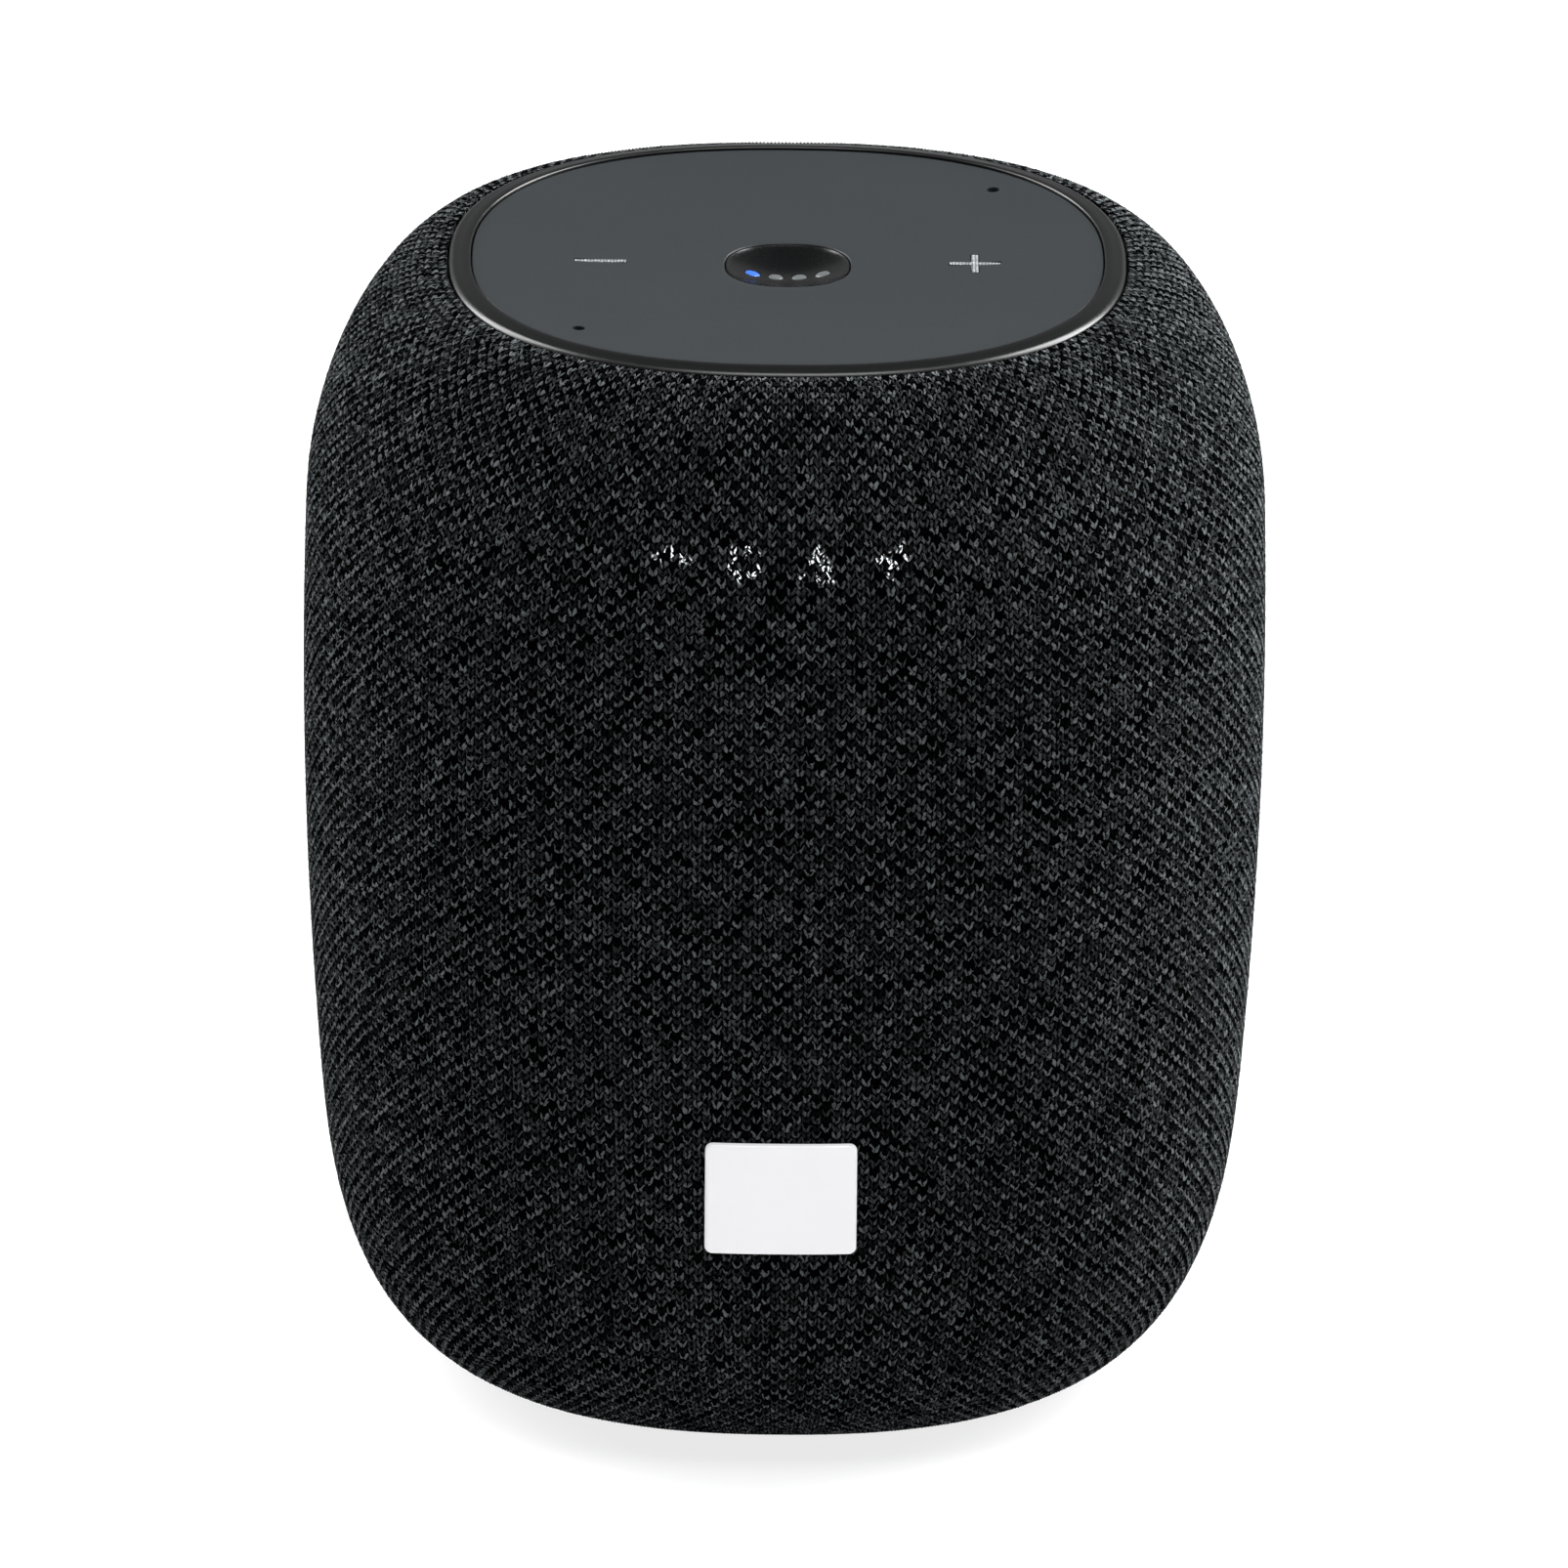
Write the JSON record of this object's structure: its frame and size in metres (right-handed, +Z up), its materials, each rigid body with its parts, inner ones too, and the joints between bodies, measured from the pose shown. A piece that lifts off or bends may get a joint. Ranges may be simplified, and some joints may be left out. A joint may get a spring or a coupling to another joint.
{
  "type": "smart speaker hub",
  "caption": "Barrel-shaped smart speaker hub in knitted fabric, with a touch panel on top, a dished centre button, status lights and a rear port panel.",
  "frame": {"origin": "centre of the rubber foot's underside, on the surface that the hub stands on", "axes": "+Z up through the touch panel, -Y out of the front with the badge, +X to the right of someone facing the front"},
  "size_m": [0.112, 0.112, 0.134],
  "materials": {
    "knit_fabric": "ribbed melange knit, near black with slate flecks",
    "cage_plastic": "moulded black",
    "bezel_plastic": "satin black",
    "panel_plastic": "fine-grained slate grey",
    "mark_plastic": "pale grey, light-diffusing",
    "inner_plastic": "moulded dark grey",
    "circuit_board": "green solder mask",
    "rubber": "matte black",
    "steel": "plain",
    "lens_plastic": "milky light guide",
    "button_plastic": "satin black dish",
    "dot_blue": "blue light dot",
    "dot_grey": "grey light dot",
    "badge_white": "satin white",
    "port_plastic": "fine spark texture",
    "slider_plastic": "satin dark grey",
    "aluminium": "extruded",
    "ribbon": "amber film",
    "ferrite": "sintered",
    "copper": "wound copper wire",
    "cone_paper": "pressed black pulp",
    "base_plastic": "moulded black",
    "foot_rubber": "soft matte rubber"
  },
  "bodies": {
    "hub": {"fabric_sleeve": "knit_fabric", "speaker_cage": "cage_plastic", "top_bezel": "bezel_plastic", "top_panel": "panel_plastic", "volume_down_mark": "mark_plastic", "volume_up_mark": "mark_plastic", "top_carrier": "inner_plastic", "control_board": "circuit_board", "touch_pad_left": "rubber", "touch_pad_right": "rubber", "microphone_front": "rubber", "microphone_rear": "rubber", "button_switch": "steel", "light_bar": "lens_plastic", "status_frame": "cage_plastic", "status_lens_1": "lens_plastic", "status_lens_2": "lens_plastic", "status_lens_3": "lens_plastic", "status_lens_4": "lens_plastic", "status_board": "circuit_board", "badge": "badge_white", "port_panel": "port_plastic", "power_inlet": "port_plastic", "mute_switch": "steel", "pairing_switch": "steel", "main_board": "circuit_board", "heatsink": "aluminium", "radio_module": "steel", "capacitor": "rubber", "ribbon_cable": "ribbon", "enclosure_tub": "inner_plastic", "enclosure_gasket": "rubber", "enclosure_lid": "inner_plastic", "driver_basket": "steel", "magnet_plate": "steel", "magnet_ring": "ferrite", "magnet_yoke": "steel", "spider": "cone_paper", "surround": "rubber", "radiator_surround_left": "rubber", "radiator_surround_right": "rubber", "sound_deflector": "inner_plastic", "base_plate": "base_plastic", "foot_ring": "foot_rubber", "base_screw_1": "steel", "base_screw_2": "steel", "base_screw_3": "steel", "base_screw_4": "steel"},
    "centre_button": {"centre_button": "button_plastic", "button_dot_1": "dot_blue", "button_dot_2": "dot_grey", "button_dot_3": "dot_grey", "button_dot_4": "dot_grey"},
    "mute_slider": {"mute_slider": "slider_plastic"},
    "pairing_button": {"pairing_button": "slider_plastic"},
    "cone": {"cone": "cone_paper", "dust_cap": "cone_paper", "voice_coil": "copper"},
    "radiator_left": {"radiator_plate_left": "cone_paper"},
    "radiator_right": {"radiator_plate_right": "cone_paper"}
  },
  "joints": [
    {"name": "centre_button_press", "type": "slide", "parent": "hub", "child": "centre_button", "axis": [0, 0, -1], "range_m": [0, 0.0008], "stiffness_N_per_m": 1500},
    {"name": "mute_slide", "type": "slide", "parent": "hub", "child": "mute_slider", "axis": [1, 0, 0], "range_m": [0, 0.003]},
    {"name": "pairing_press", "type": "slide", "parent": "hub", "child": "pairing_button", "axis": [0, -1, 0], "range_m": [0, 0.0006], "stiffness_N_per_m": 1200},
    {"name": "cone_travel", "type": "slide", "parent": "hub", "child": "cone", "axis": [0, 0, 1], "range_m": [-0.003, 0.003], "stiffness_N_per_m": 1800, "deforming": ["surround", "spider"]},
    {"name": "radiator_left_travel", "type": "slide", "parent": "hub", "child": "radiator_left", "axis": [-1, 0, 0], "range_m": [-0.003, 0.003], "stiffness_N_per_m": 1500, "deforming": ["radiator_surround_left"]},
    {"name": "radiator_right_travel", "type": "slide", "parent": "hub", "child": "radiator_right", "axis": [1, 0, 0], "range_m": [-0.003, 0.003], "stiffness_N_per_m": 1500, "deforming": ["radiator_surround_right"]}
  ]
}
